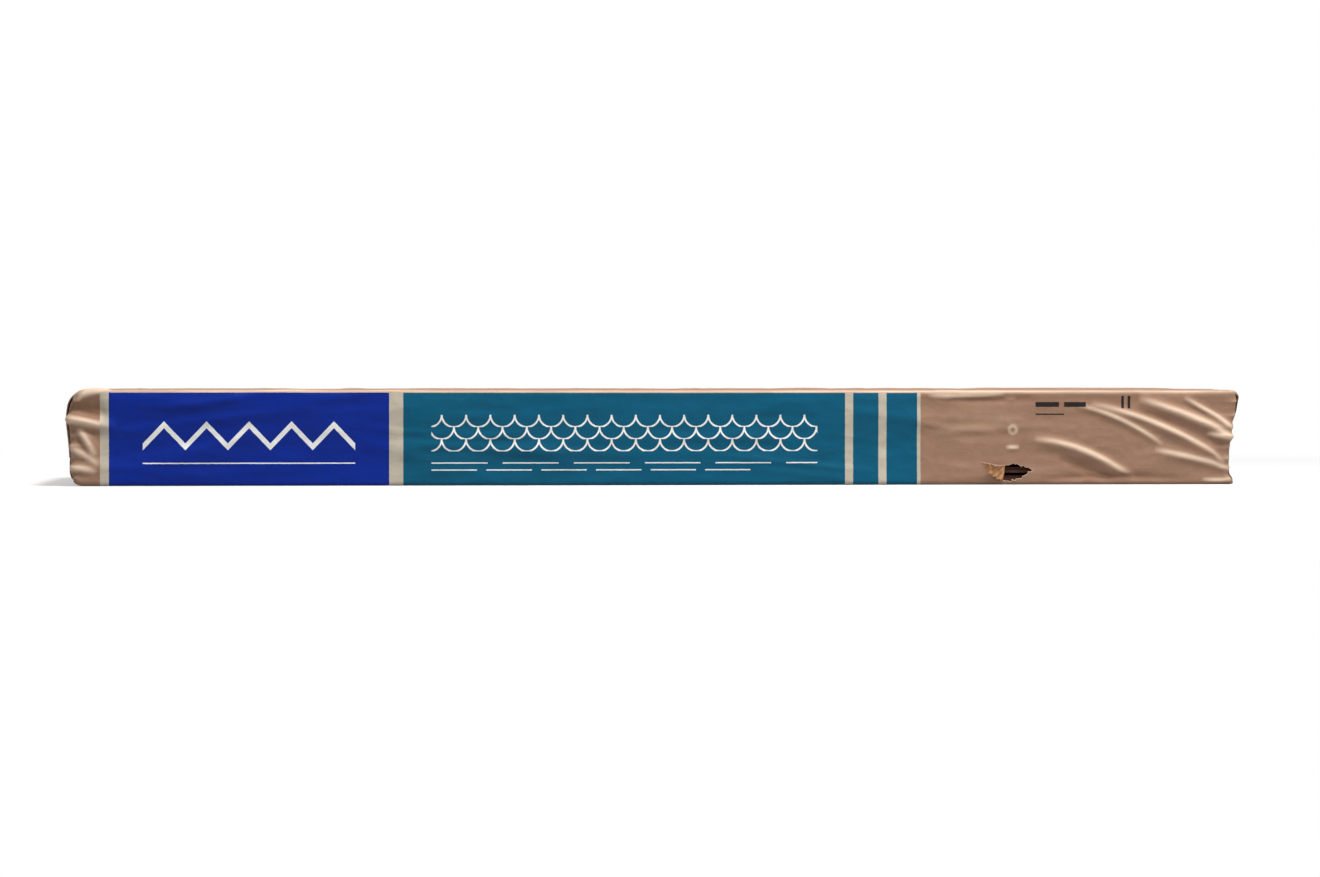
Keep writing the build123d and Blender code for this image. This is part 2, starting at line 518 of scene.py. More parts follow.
def crease_top(relief, sag):
    """The top: shallow creases that fan out to the end folds, over a surface that sags into the slots."""
    s, t = relief.s, relief.t
    middle = TOP_START + WIDTH / 2

    def fan(along, around):
        reach = max(abs(along) - FAN_START, 0) / FAN_REACH
        return -FAN_LEAN * math.copysign(reach, along) * (around - middle) / (WIDTH / 2)

    top = rise(t, TOP_START, TOP_START + TOP_EDGE) * (1 - rise(t, BACK_START - TOP_EDGE, BACK_START))
    edges = relief.height * (1 - top)
    t_range = (TOP_START + TOP_MARGIN, BACK_START - TOP_MARGIN)
    relief.scatter(
        84, (-0.49, 0.49), t_range, length=(0.06, 0.30), height=(0.0004, 0.0018), width=(0.006, 0.016),
        lean=fan,
    )
    relief.scatter(
        120, (-0.47, 0.47), t_range, length=(0.03, 0.15), height=(0.0006, 0.0016), width=(0.004, 0.009),
        lean=any_way,
    )
    swell = TOP_SWELL + TOP_SWELL * waves(s, t, 0.10, 0.045, seed=5)
    swell += TOP_RIPPLE * waves(s, t, 0.03, 0.012, seed=6)
    risen = TOP_RISE * np.tanh(np.maximum(relief.height - edges + swell, 0) / TOP_RISE)
    relief.height = edges + np.where(top > 0, top * (risen - sag), relief.height - edges)


# The back: its waves, the margins of its waves and creases, where the lap covers it, and the lap's free edge
BACK_WAVES = (0.0006, 0.10, 0.012, 7)
BACK_EDGE = 0.008
BACK_MARGIN = 0.004
COVER_START = 0.003
COVER_END = 0.004
FREE_REACH = 0.016
FREE_LIFT = 0.0011


def crease_back(relief):
    """The back, above the lap and on it."""
    s, t = relief.s, relief.t
    lap_line = BACK_START + HEIGHT - LAP
    for start, end in ((BACK_START, lap_line), (SHEET_START, BOTTOM_START)):
        inside = rise(t, start, start + BACK_EDGE) * (1 - rise(t, end - BACK_EDGE, end))
        relief.undulate(inside, *BACK_WAVES)
        t_range = (start + BACK_MARGIN, end - BACK_MARGIN)
        relief.scatter(
            26, (-0.49, 0.49), t_range, length=(0.05, 0.26), height=(0.0003, 0.0013), width=(0.004, 0.009),
        )
        relief.scatter(
            30, (-0.48, 0.48), t_range, length=(0.02, 0.07), height=(0.0004, 0.0012), width=(0.003, 0.007),
            lean=any_way,
        )
    relief.height *= 1 - rise(t, lap_line - COVER_START, lap_line + COVER_END)
    free_edge = rise(-t, -SHEET_START - FREE_REACH, -SHEET_START)
    relief.height += FREE_LIFT * (free_edge * np.maximum(waves(s, t, 0.05, 0.5, seed=10), 0))


# The end flaps: their creases' margins, where they leave the bend, and how much of a layer's relief is kept
FLAP_START = 0.004
FLAP_SIDE = 0.03
FLAP_RISE = (0.004, 0.012)
FOOT_COVER = 0.006
SIDE_RELIEF = 0.4
FLAP_LIFT = 0.0012
FLAP_UNEVEN = 0.0010
LIFT_START = 0.010


def crease_flaps(relief, layer):
    """The folded-in ends: loose flaps that lift towards their cut edges, over layers that lie flat."""
    s, t = relief.s, relief.t
    tucked = np.maximum(np.abs(s) - HALF, 0)
    for side in (-1, 1):
        outward = sorted((side * (HALF - FLAP_START), side * (HALF + FOLD)))
        for start, end in ((TOP_START, BACK_START), (BOTTOM_START, 0)):
            relief.scatter(
                18, outward, (start + FLAP_SIDE, end - FLAP_SIDE),
                length=(0.02, 0.07), height=(0.0003, 0.0010), width=(0.004, 0.009), lean=any_way,
            )
    on_end = rise(tucked, *FLAP_RISE)
    visible_foot = 1 - rise(tucked, HEIGHT - FOLD - FOOT_COVER, HEIGHT - FOLD)
    layers = (layer == TOP_FLAP, layer == BOTTOM_FLAP, layer <= LAP_SIDE)
    visible = np.select(layers, (1.0, visible_foot, SIDE_RELIEF), 0.0)
    relief.height *= 1 - on_end * (1 - visible)
    lift = FLAP_LIFT + FLAP_UNEVEN * waves(s, t, 0.05, 0.05, seed=8)
    relief.height += np.where(layer == TOP_FLAP, rise(tucked, LIFT_START, FOLD) * np.maximum(lift, 0), 0)


# The ends' outline: where it sets in, its swelling and unevenness, and how the right end's foot and the left
# end's crown are drawn in near the front, by shares of the height
END_SPAN = (HALF - 0.026, HALF - 0.002)
END_SWELL = 0.0022
SWELL_AT_CORNER = 0.35
END_UNEVEN = 0.0012
FRONT_REACH = 0.05
FOOT_DEPTH = 0.0055
FOOT_RISE = (0, 0.12)
FOOT_FALL = (0.50, 0.85)
CROWN_DEPTH = 0.0040
CROWN_RISE = (0.62, 1.0)


def end_shape(points):
    """The ends swollen at middle height, and drawn in at one front corner of each, as in the photograph."""
    side = np.sign(points[..., 0])
    depth = points[..., 1] - FRONT
    share = (points[..., 2] - BASE) / HEIGHT
    at_end = rise(np.abs(points[..., 0]), *END_SPAN)
    across = SWELL_AT_CORNER + (1 - SWELL_AT_CORNER) * np.sin(math.pi * depth / WIDTH)
    swell = END_SWELL * np.sin(math.pi * np.clip(share, 0, 1)) * across
    uneven = END_UNEVEN * waves(points[..., 1], points[..., 2], 0.05, 0.02, seed=9, count=10)
    near_front = np.exp(-depth / FRONT_REACH)
    foot = rise(share, *FOOT_RISE) * (1 - rise(share, *FOOT_FALL))
    right_foot = FOOT_DEPTH * near_front * foot * (side > 0)
    left_crown = CROWN_DEPTH * near_front * rise(share, *CROWN_RISE) * (side < 0)
    points[..., 0] += side * at_end * (swell + uneven - right_foot - left_crown)
    return points


# The sheet on the stack

def slot_sag(points, s_lines, t_lines):
    """How far the top of the paper sinks into the slots between the highest shingle's teeth."""
    tree = BVHTree.FromObject(frame["nodes"][TOP_SHINGLE], bpy.context.evaluated_depsgraph_get())
    down = Vector((0, 0, -1))
    start_height = LID + 0.1
    depth = np.zeros(points.shape[:2] + (1,))
    top = (t_lines > TOP_START) & (t_lines < BACK_START)
    for along in np.nonzero(np.abs(s_lines) < STACK_HIGH[0])[0]:
        for around in np.nonzero(top)[0]:
            x, y, _ = points[along, around]
            hit = tree.ray_cast(Vector((x, y, start_height)), down)[0]
            if hit:
                depth[along, around] = STACK_HIGH[2] - hit.z
    eased = softened(depth, s_lines, t_lines, SAG_PASSES, np.ones_like(depth))[..., 0]
    return SAG_SHARE * np.maximum(eased - SAG_START, 0)


def outside_stack(points):
    """Points moved out of the stack to its nearest side."""
    low = STACK_LOW - (STACK_CLEARANCE, STACK_CLEARANCE, 0)
    high = STACK_HIGH + (STACK_CLEARANCE, STACK_CLEARANCE, 0)
    x, y, z = np.moveaxis(points, -1, 0)
    depth = np.stack((high[0] - np.abs(x), y - low[1], high[1] - y), -1)
    inside = (depth > 0).all(-1) & (z > low[2]) & (z < high[2] - FLAT_MARGIN)
    nearest = depth.argmin(-1)
    moves = (
        (0, np.sign(x) * high[0]),
        (1, np.full_like(y, low[1])),
        (1, np.full_like(y, high[1])),
    )
    for number, (axis, value) in enumerate(moves):
        out = inside & (nearest == number)
        points[..., axis][out] = value[out]
    return points


def normals_of(points):
    """Outward unit normals of the grid."""
    normal = np.cross(np.gradient(points, axis=0), np.gradient(points, axis=1))
    return normal / np.maximum(np.linalg.norm(normal, axis=-1, keepdims=True), 1e-12)


def sheet_points(s_lines, t_lines):
    """The folded and creased sheet as a grid of points, with its relief."""
    s, t = np.meshgrid(s_lines, t_lines, indexing="ij")
    points, layer = folded(s, t)
    over = np.abs(s) - HALF
    loose = (rise(over, *LOOSE_RISE) * (1 - LOOSE_DROP * rise(over, *LOOSE_FALL)))[..., None]
    points = softened(points, s_lines, t_lines, FOLD_PASSES, loose)
    points = rounded(points, 0, 2, np.where(s > 0, RIGHT_TOP_BEND, LEFT_TOP_BEND))
    points = rounded(points, 0, 1, END_BEND)
    points = rounded(points, 1, 2, LONG_BEND)
    points = end_shape(points)

    relief = Relief(s, t)
    crease_front(relief)
    crease_ends(relief)
    crease_top(relief, slot_sag(points, s_lines, t_lines))
    crease_back(relief)
    crease_flaps(relief, layer)
    height = softened(relief.height[..., None], s_lines, t_lines, CREASE_PASSES, np.ones_like(loose))
    relief.height = height[..., 0]
    underside = (t > BOTTOM_START + FLAT_MARGIN) & (t < -FLAT_MARGIN) & (over < 0)
    relief.height[underside] = 0
    points += normals_of(points) * relief.height[..., None]
    points = outside_stack(points)
    points[..., 2] = np.maximum(points[..., 2], BASE)
    return points, relief


def cells_of(s_lines, t_lines):
    """The grid's cells as lists of corners, with the end folds' cells cut along their slanted creases."""
    rows = len(t_lines)
    faces = []
    for i, along in enumerate((s_lines[1:] + s_lines[:-1]) / 2):
        for j, around in enumerate((t_lines[1:] + t_lines[:-1]) / 2):
            a = i * rows + j
            b, c, d = a + rows, a + rows + 1, a + 1
            starts = (BOTTOM_START, TOP_START)
            rising = any(start < around < start + FOLD for start in starts)
            falling = any(start + WIDTH - FOLD < around < start + WIDTH for start in starts)
            if abs(along) < HALF or not (rising or falling):
                faces.append((a, b, c, d))
            elif rising == (along > 0):
                faces += [(a, b, c), (a, c, d)]
            else:
                faces += [(a, b, d), (b, c, d)]
    return faces


# The tear

def ragged(value, seed):
    """A torn edge's small steps, as a function of the place along it."""
    maker = np.random.default_rng(seed)
    return RAG_SIZE * sum(
        math.sin(value * maker.uniform(*RAG_PACE) + maker.uniform(0, 2 * math.pi)) for _ in range(RAG_WAVES)
    )


def in_tear(s, t):
    """Whether a point of the sheet is in the hole."""
    s += ragged(t, seed=21)
    t += ragged(s, seed=22)
    inside = False
    for (s1, t1), (s2, t2) in zip(TEAR_OUTLINE, TEAR_OUTLINE[1:] + TEAR_OUTLINE[:1]):
        if (t1 > t) != (t2 > t) and s < s1 + (t - t1) * (s2 - s1) / (t2 - t1):
            inside = not inside
    return inside


def from_hinge(s, t):
    """How far a point of the sheet lies past the flap's hinge, and how far up along it."""
    offset = Vector((s, t)) - Vector(HINGE)
    return offset.dot(HINGE_RIGHT), offset.dot(HINGE_UP)


def turned_back(s, t):
    """Where a point of the hole's paper lies once it is bent back to the left, and how far off the front."""
    run, height = from_hinge(s, t)
    turn = min(max(run, 0) / HINGE_BEND, HINGE_TURN)
    rest = run - HINGE_BEND * turn
    bent = turn / HINGE_TURN
    back = HINGE_BEND * math.sin(turn) + (rest * math.cos(HINGE_TURN) if turn else rest)
    out = HINGE_BEND * (1 - math.cos(turn)) + (rest * math.sin(HINGE_TURN) if turn else 0)
    roll = bent * max(height - ROLL_START, 0) / ROLL_BEND
    rolled = height + bent * (min(height, ROLL_START) + ROLL_BEND * math.sin(roll) - height)
    wave = math.sin(RIPPLE_PACE[0] * run + RIPPLE_PACE[1] * height)
    out += ROLL_BEND * (1 - math.cos(roll)) + bent * FLAP_RIPPLE * wave
    return Vector(HINGE) + rolled * HINGE_UP + back * HINGE_RIGHT, out


def line_smoothed(edges, passes):
    """Points along a line of edges drawn towards their neighbours on it, which takes out the grid's steps."""
    beside = {}
    for edge in edges:
        for vertex in edge.verts:
            beside.setdefault(vertex, []).append(edge.other_vert(vertex))
    for _ in range(passes):
        middles = {}
        for vertex, others in beside.items():
            middles[vertex] = sum((other.co for other in others), Vector()) / len(others)
        for vertex, middle in middles.items():
            vertex.co = (vertex.co + middle) / 2


def tear_open(mesh):
    """Cuts the ragged hole, and turns its paper out to the left."""
    bm = bmesh.new()
    bm.from_mesh(mesh)
    low = np.min(TEAR_OUTLINE, axis=0) - TEAR_MARGIN
    high = np.max(TEAR_OUTLINE, axis=0) + TEAR_MARGIN

    def near(face):
        x, y, z = face.calc_center_median()
        return y < FRONT + BEND_MARGIN and low[0] < x < high[0] and low[1] < z - BASE < high[1]

    def torn(face):
        x, _, z = face.calc_center_median()
        return near(face) and in_tear(x, z - BASE)

    def past_hinge(vertex):
        return from_hinge(vertex.co.x, vertex.co.z - BASE)[0]

    edges = {edge for face in bm.faces if near(face) for edge in face.edges}
    bmesh.ops.subdivide_edges(bm, edges=list(edges), cuts=TEAR_CUTS, use_grid_fill=True)
    hole = {face for face in bm.faces if torn(face)}
    rim = [edge for edge in bm.edges if len(hole.intersection(edge.link_faces)) == 1]
    line_smoothed(rim, TEAR_PASSES)
    cut = [edge for edge in rim if max(past_hinge(vertex) for vertex in edge.verts) > HINGE_MARGIN]
    wear_and_painted_light = bm.verts.layers.float["wear_and_painted_light"]
    for vertex in {vertex for edge in cut for vertex in edge.verts}:
        vertex[wear_and_painted_light] = TORN_WEAR
    bmesh.ops.split_edges(bm, edges=cut)
    for vertex in {vertex for face in hole for vertex in face.verts}:
        (x, height), out = turned_back(vertex.co.x, vertex.co.z - BASE)
        vertex.co = (x, vertex.co.y - out, BASE + height)
    bm.to_mesh(mesh)
    bm.free()


def thin_out(piece, t):
    """Larger faces where the sheet is flat, apart from its printed front, which keeps its fine grid."""
    group = piece.vertex_groups.new(name="beside_print")
    group.add(np.nonzero((t < -BEND_MARGIN) | (t > TOP_START + BEND_MARGIN))[0].tolist(), 1.0, "REPLACE")
    thinning = piece.modifiers.new("thin_out", "DECIMATE")
    thinning.vertex_group = group.name
    triangles = sum(len(face.vertices) - 2 for face in piece.data.polygons)
    thinning.ratio = SHEET_FACES / triangles
    made = piece.evaluated_get(bpy.context.evaluated_depsgraph_get())
    piece.data = bpy.data.meshes.new_from_object(made)
    piece.modifiers.clear()
    piece.vertex_groups.clear()


def wrapper():
    """The paper wrapper as one object."""
    s_lines = lines_along()
    t_lines = lines_round()
    points, relief = sheet_points(s_lines, t_lines)
    faces = cells_of(s_lines, t_lines)
    mesh = bpy.data.meshes.new("wrapper_sheet")
    mesh.from_pydata(points.reshape(-1, 3).tolist(), [], faces)
    corners = np.zeros(len(mesh.loops), int)
    mesh.loops.foreach_get("vertex_index", corners)
    flat = np.stack((relief.s.ravel(), relief.t.ravel()), -1)
    mesh.uv_layers.new(name="sheet").uv.foreach_set("vector", flat[corners].ravel())
    mesh.attributes.new("wear_and_painted_light", "FLOAT", "POINT").data.foreach_set("value", relief.wear_and_painted_light.ravel())
    tear_open(mesh)
    piece = bpy.data.objects.new("wrapper_sheet", mesh)
    bpy.context.scene.collection.objects.link(piece)
    thin_out(piece, relief.t.ravel())
    piece.data.shade_smooth()
    thickness = piece.modifiers.new("thickness", "SOLIDIFY")
    thickness.thickness = PAPER
    thickness.offset = 0
    thickness.material_offset = 1
    thickness.material_offset_rim = 2
    return piece


# The materials

def shown(red, green, blue):
    """A colour as it shows on a screen, from 0 to 255, turned into a shader's."""
    channels = (value / 255 for value in (red, green, blue))
    return (*(c / 12.92 if c <= 0.04045 else ((c + 0.055) / 1.055) ** 2.4 for c in channels), 1.0)


KRAFT_DARK = shown(141, 107, 86)
KRAFT_LIGHT = shown(159, 126, 104)
# Pale colour of worn crests, edges and rubbed print, also a painted highlight on crests and the front's top
# edge
KRAFT_WORN_AND_HIGHLIGHT = shown(232, 205, 180)
# Painted shade: the darker colour of the creases' valleys
KRAFT_VALLEY_SHADE = shown(120, 86, 66)
KRAFT_TORN = shown(198, 160, 126)
KRAFT_INSIDE_DARK = shown(150, 106, 76)
KRAFT_INSIDE = shown(212, 156, 108)
BLUE = shown(0, 40, 142)
TEAL = shown(0, 88, 118)
CREAM = shown(196, 186, 168)
WHITE = shown(246, 246, 242)
BLACK = shown(38, 32, 32)
ASPHALT = shown(78, 46, 38)
GRANULE_DARK = shown(52, 48, 46)
GRANULE_LIGHT = shown(112, 104, 98)
GRANULE_TAN = shown(140, 112, 90)

# Cells a metre of each pattern in the paper, along the sheet and round it
CLOUDS = (12, 18, 1)
MOTTLE = (110, 150, 1)
FLECKS = (1100, 1500, 1)
CRUMPLE = (17, 27, 1)
WRINKLES = (46, 90, 1)
INK_GRAIN = (300, 300, 1)

# The paper's tone, and the paint that follows the creases: ridges paler, part rubbed and part painted
# highlight, valleys darker as painted shade, and print rubbed to the same pale colour, part painted highlight
TONE_RANGE = (0.75, 1.45)
RIDGE_WORN_AND_HIGHLIGHT_RANGE = (0.0, 0.8)
RIDGE_WORN_AND_HIGHLIGHT_SHARE = 0.85
VALLEY_SHADE_RANGE = (-0.10, -1.0)
VALLEY_SHADE_SHARE = 0.50
RUBBED_AND_HIGHLIGHT_RANGE = (0.45, 1.2)
RUBBED_AND_HIGHLIGHT_SHARE = 0.5
INK_MOTTLE = 0.22
INK_SHAKE = 0.0005

# Roughness of each surface, and the depth in metres of its fine relief
KRAFT_ROUGHNESS = 0.66
INK_GLOSS = 0.26
INSIDE_ROUGHNESS = 0.85
ROUGH = 0.9
KRAFT_DEPTH = 0.0030
INSIDE_DEPTH = 0.0015
EDGE_DEPTH = 0.0005
GRANULE_DEPTH = 0.0006

# The granules: how many there are in a metre, which of their random values make them pale or tan, and how
# upright a face is where it turns from cut asphalt to granules
GRANULES_A_METRE = 900.0
PALE_RANGE = (0.1, 0.9)
TAN_RANGE = (0.75, 0.95)
UPRIGHT_RANGE = (0.4, 0.6)

# The mix node's sockets for colours: its share, its two colours, and its result
MIX_SHARE = 0
MIX_FIRST = 6
MIX_SECOND = 7
MIX_RESULT = 2


class Nodes:
    """The node tree of a material or a world, built one node a call."""

    def __init__(self, owner):
        self.owner = owner
        owner.use_nodes = True
        self.tree = owner.node_tree
        self.tree.nodes.clear()

    def add(self, kind, sockets, **settings):
        """A node with its settings, and its input sockets given values or other nodes' outputs."""
        node = self.tree.nodes.new(kind)
        for name, value in settings.items():
            setattr(node, name, value)
        for name, value in sockets.items():
            if isinstance(value, bpy.types.NodeSocket):
                self.tree.links.new(value, node.inputs[name])
            else:
                node.inputs[name].default_value = value
        return node

    def math(self, operation, *values):
        """The result of a math node."""
        return self.add("ShaderNodeMath", dict(enumerate(values)), operation=operation).outputs[0]

    def mix(self, share, first, second):
        """A colour between two, by share."""
        sockets = {MIX_SHARE: share, MIX_FIRST: first, MIX_SECOND: second}
        return self.add("ShaderNodeMix", sockets, data_type="RGBA").outputs[MIX_RESULT]

    def ramp(self, value, start, end):
        """0 to 1 as a value goes from start to end."""
        sockets = {"Value": value, "From Min": start, "From Max": end}
        return self.add("ShaderNodeMapRange", sockets).outputs[0]

    def stretched(self, place, factors):
        """A place scaled by its own factor along each axis."""
        return self.add("ShaderNodeVectorMath", {0: place, 1: factors}, operation="MULTIPLY").outputs[0]

    def noise(self, place, detail=3.0, roughness=0.55):
        """Noise between 0 and 1."""
        sockets = {"Vector": place, "Scale": 1.0, "Detail": detail, "Roughness": roughness}
        return self.add("ShaderNodeTexNoise", sockets).outputs[0]

    def cells(self, place):
        """Distance to the nearest of scattered points, which makes flat facets with sharp creases between."""
        return self.add("ShaderNodeTexVoronoi", {"Vector": place, "Scale": 1.0}).outputs["Distance"]

    def within(self, value, start, end):
        """1 where a value lies between two others, and 0 elsewhere."""
        past_start = self.math("GREATER_THAN", value, start)
        return self.math("MULTIPLY", past_start, self.math("LESS_THAN", value, end))

    def total(self, *values):
        """The sum of several values."""
        result = values[0]
        for value in values[1:]:
            result = self.math("ADD", result, value)
        return result

    def weighted(self, *pairs):
        """The sum of several values, each times its weight."""
        return self.total(*(self.math("MULTIPLY", value, weight) for value, weight in pairs))

    def seen(self):
        """1 for the rays that show the background: the camera's, and those in reflections and glass."""
        rays = self.add("ShaderNodeLightPath", {}).outputs
        mirrored = self.math("MAXIMUM", rays["Is Glossy Ray"], rays["Is Transmission Ray"])
        return self.math("MAXIMUM", rays["Is Camera Ray"], mirrored)

    def finish(self, colour, roughness, relief, depth, specular=0.3):
        """The surface's shader, with its relief given in metres by depth."""
        bump = self.add("ShaderNodeBump", {"Height": relief, "Distance": depth})
        shader = self.add("ShaderNodeBsdfPrincipled", {
            "Base Color": colour,
            "Roughness": roughness,
            "Specular IOR Level": specular,
            "Normal": bump.outputs[0],
        })
        self.add("ShaderNodeOutputMaterial", {"Surface": shader.outputs[0]})
        return self.owner


def paper(name):
    """The start of a paper material: its nodes, the place on the flat sheet, and its colour and relief."""
    nodes = Nodes(bpy.data.materials.new(name))
    place = nodes.add("ShaderNodeUVMap", {}, uv_map="sheet").outputs[0]
    clouds = nodes.noise(nodes.stretched(place, CLOUDS))
    mottle = nodes.noise(nodes.stretched(place, MOTTLE), detail=5)
    flecks = nodes.noise(nodes.stretched(place, FLECKS), detail=2)
    tone = nodes.weighted((clouds, 0.8), (mottle, 0.7), (flecks, 0.7))
    crumple = nodes.cells(nodes.stretched(place, CRUMPLE))
    wrinkles = nodes.cells(nodes.stretched(place, WRINKLES))
    relief = nodes.weighted((crumple, 0.60), (wrinkles, 0.22), (mottle, 0.10), (flecks, 0.020))
    return nodes, place, nodes.ramp(tone, *TONE_RANGE), relief


def outer_paper():
    """The outside of the wrapper: kraft with printed fields on the front."""
    nodes, place, tone, relief = paper("kraft_paper_printed")
    wear_and_painted_light = nodes.add("ShaderNodeAttribute", {}, attribute_name="wear_and_painted_light").outputs["Fac"]
    # Ridges painted paler: part rubbed paper, part painted highlight
    ridge_worn_and_highlight = nodes.math("MULTIPLY", nodes.ramp(wear_and_painted_light, *RIDGE_WORN_AND_HIGHLIGHT_RANGE), RIDGE_WORN_AND_HIGHLIGHT_SHARE)
    # Valleys painted darker as painted shade
    valley_shade = nodes.math("MULTIPLY", nodes.ramp(wear_and_painted_light, *VALLEY_SHADE_RANGE), VALLEY_SHADE_SHARE)
    kraft = nodes.mix(tone, KRAFT_DARK, KRAFT_LIGHT)
    kraft = nodes.mix(valley_shade, kraft, KRAFT_VALLEY_SHADE)
    kraft = nodes.mix(ridge_worn_and_highlight, kraft, KRAFT_WORN_AND_HIGHLIGHT)

    # Print edges waver a little, as ink does on rough paper
    parts = nodes.add("ShaderNodeSeparateXYZ", {0: place})
    grain = nodes.math("SUBTRACT", nodes.noise(nodes.stretched(place, INK_GRAIN)), 0.5)
    shake = nodes.math("MULTIPLY", grain, INK_SHAKE)
    x = nodes.math("ADD", parts.outputs[0], shake)
    y = nodes.math("ADD", parts.outputs[1], shake)

    def field(span, foot=PRINT_FOOT, top=PRINT_TOP):
        return nodes.math("MULTIPLY", nodes.within(x, *span), nodes.within(y, foot, top))

    def rule(span, height, thickness):
        return field(span, height - thickness / 2, height + thickness / 2)

    def zigzag(span, foot, gable, slope, thickness):
        rise_along = nodes.math("PINGPONG", nodes.math("SUBTRACT", x, span[0]), gable)
        outline = nodes.math("ADD", nodes.math("MULTIPLY", rise_along, slope), foot)
        away = nodes.math("ABSOLUTE", nodes.math("SUBTRACT", y, outline))
        return nodes.math("MULTIPLY", nodes.math("LESS_THAN", away, thickness / 2), nodes.within(x, *span))

    def scallops(span, foot, rows, radius, thickness):
        row = nodes.math("DIVIDE", nodes.math("SUBTRACT", y, foot), radius)
        shifted = nodes.math("ADD", nodes.math("DIVIDE", x, radius), nodes.math("FLOOR", row))
        across = nodes.math("SUBTRACT", nodes.math("FLOORED_MODULO", shifted, 2.0), 1.0)
        down = nodes.math("SUBTRACT", 1.0, nodes.math("FRACT", row))
        across_squared = nodes.math("POWER", nodes.math("ABSOLUTE", across), 2.0)
        squares = nodes.math("ADD", across_squared, nodes.math("POWER", down, 2.0))
        away = nodes.math("ABSOLUTE", nodes.math("SUBTRACT", nodes.math("SQRT", squares), 1.0))
        line = nodes.math("LESS_THAN", away, thickness / 2 / radius)
        return nodes.math("MULTIPLY", line, field(span, foot, foot + rows * radius))

    def dashes(span, height, step, length, thickness):
        in_step = nodes.math("FLOORED_MODULO", nodes.math("SUBTRACT", x, span[0]), step)
        ink_here = nodes.math("LESS_THAN", in_step, length)
        return nodes.math("MULTIPLY", ink_here, rule(span, height, thickness))

    blue = field(BLUE_SPAN)
    teal = nodes.total(*(field(span) for span in TEAL_SPANS))
    white = nodes.total(
        zigzag(ZIGZAG_SPAN, foot=0.0330, gable=0.0180, slope=1.05, thickness=0.0058),
        rule(ZIGZAG_SPAN, height=0.0190, thickness=0.0010),
        scallops(SCALLOP_SPAN, foot=0.0290, rows=3, radius=0.0104, thickness=0.0015),
        dashes(SCALLOP_SPAN, height=0.0190, step=0.0610, length=0.0480, thickness=0.0010),
        dashes(DASH_SPAN, height=0.0130, step=0.0470, length=0.0390, thickness=0.0010),
    )
    black = nodes.total(
        dashes(MARK_SPAN, height=0.0690, step=0.0250, length=0.0205, thickness=0.0042),
        dashes(MARK_SPAN, height=0.0605, step=0.0500, length=0.0250, thickness=0.0012),
        dashes(STAMP_SPAN, height=0.0710, step=0.0056, length=0.0024, thickness=0.0110),
    )
    printed = field(PRINT_SPAN)
    ink = nodes.mix(blue, CREAM, BLUE)
    ink = nodes.mix(teal, ink, TEAL)
    ink = nodes.mix(white, ink, WHITE)
    # Print painted towards the pale kraft colour on crests and the top edge: part rubbed ink, part painted
    # highlight
    rubbed_and_highlight = nodes.math("MULTIPLY", nodes.ramp(wear_and_painted_light, *RUBBED_AND_HIGHLIGHT_RANGE), RUBBED_AND_HIGHLIGHT_SHARE)
    ink = nodes.mix(nodes.math("MULTIPLY", tone, INK_MOTTLE), ink, BLACK)
    ink = nodes.mix(rubbed_and_highlight, ink, KRAFT_WORN_AND_HIGHLIGHT)
    colour = nodes.mix(printed, kraft, ink)
    colour = nodes.mix(black, colour, BLACK)
    roughness = nodes.math("SUBTRACT", KRAFT_ROUGHNESS, nodes.math("MULTIPLY", printed, INK_GLOSS))
    return nodes.finish(colour, roughness, relief, KRAFT_DEPTH, specular=0.12)


def inner_paper():
    """The bare inside of the sheet."""
    nodes, _, tone, relief = paper("kraft_paper_inside")
    colour = nodes.mix(tone, KRAFT_INSIDE_DARK, KRAFT_INSIDE)
    return nodes.finish(colour, INSIDE_ROUGHNESS, relief, INSIDE_DEPTH)


def paper_edge():
    """The cut and torn edges of the sheet, where its pale fibres show."""
    nodes, _, tone, relief = paper("kraft_paper_edge")
    return nodes.finish(nodes.mix(tone, KRAFT_LIGHT, KRAFT_TORN), ROUGH, relief, EDGE_DEPTH)


def granules():
    """Mineral granules pressed into asphalt, with bare asphalt on the cut edges."""
    nodes = Nodes(bpy.data.materials.new("asphalt_granules"))
    place = nodes.add("ShaderNodeTexCoord", {}).outputs["Object"]
    grains = nodes.add("ShaderNodeTexVoronoi", {"Vector": place, "Scale": GRANULES_A_METRE})
    tones = nodes.add("ShaderNodeSeparateColor", {0: grains.outputs["Color"]})
    colour = nodes.mix(nodes.ramp(tones.outputs[0], *PALE_RANGE), GRANULE_DARK, GRANULE_LIGHT)
    colour = nodes.mix(nodes.ramp(tones.outputs[1], *TAN_RANGE), colour, GRANULE_TAN)
    normal = nodes.add("ShaderNodeNewGeometry", {}).outputs["Normal"]
    upright = nodes.math("ABSOLUTE", nodes.add("ShaderNodeSeparateXYZ", {0: normal}).outputs[2])
    colour = nodes.mix(nodes.ramp(upright, *UPRIGHT_RANGE), ASPHALT, colour)
    return nodes.finish(colour, ROUGH, grains.outputs["Distance"], GRANULE_DEPTH)


# The studio

# How bright the world lights the bundle, and the floor: its reach, its drop below the bundle, its fade to
# white by distance, and its colour where it only throws light back and where it is seen
WORLD_LIGHT = 0.33
FLOOR_REACH = 14.0
FLOOR_DROP = 0.0002
FLOOR_FADE = (-0.2, 1.9)
FLOOR_DIM = (0.40, 0.40, 0.40, 1)
FLOOR_PALE = (0.86, 0.86, 0.85, 1)


